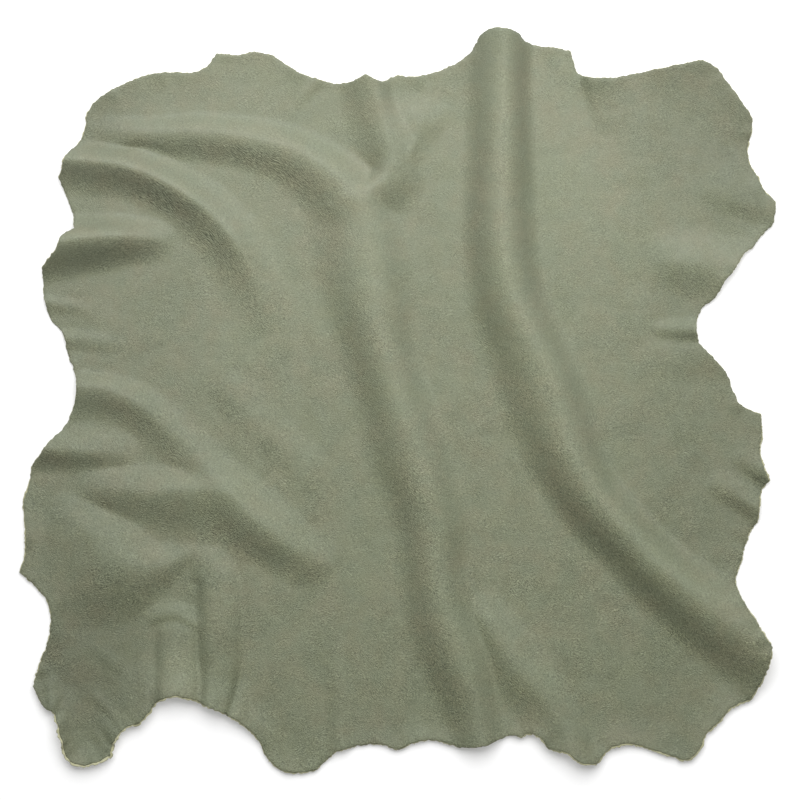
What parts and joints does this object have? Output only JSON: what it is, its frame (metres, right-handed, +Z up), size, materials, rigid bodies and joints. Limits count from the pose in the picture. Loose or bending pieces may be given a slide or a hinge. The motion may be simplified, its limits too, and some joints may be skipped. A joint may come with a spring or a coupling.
{
  "type": "leather hide",
  "caption": "Whole tanned leather hide with an uneven cut outline, lying loose and grain side up in its own soft folds.",
  "frame": {"origin": "middle of the hide's outline, on the surface that it lies on", "axes": "+Z up out of the grain side, +Y towards the crown where the neck was, +X across the skin"},
  "size_m": [0.7554, 0.7431, 0.0275],
  "materials": {
    "grain": "soft matte nappa with a fine pebble grain",
    "flesh": "suede nap, underside and cut edge"
  },
  "bodies": {
    "root": {"hide": "grain"}
  },
  "joints": []
}
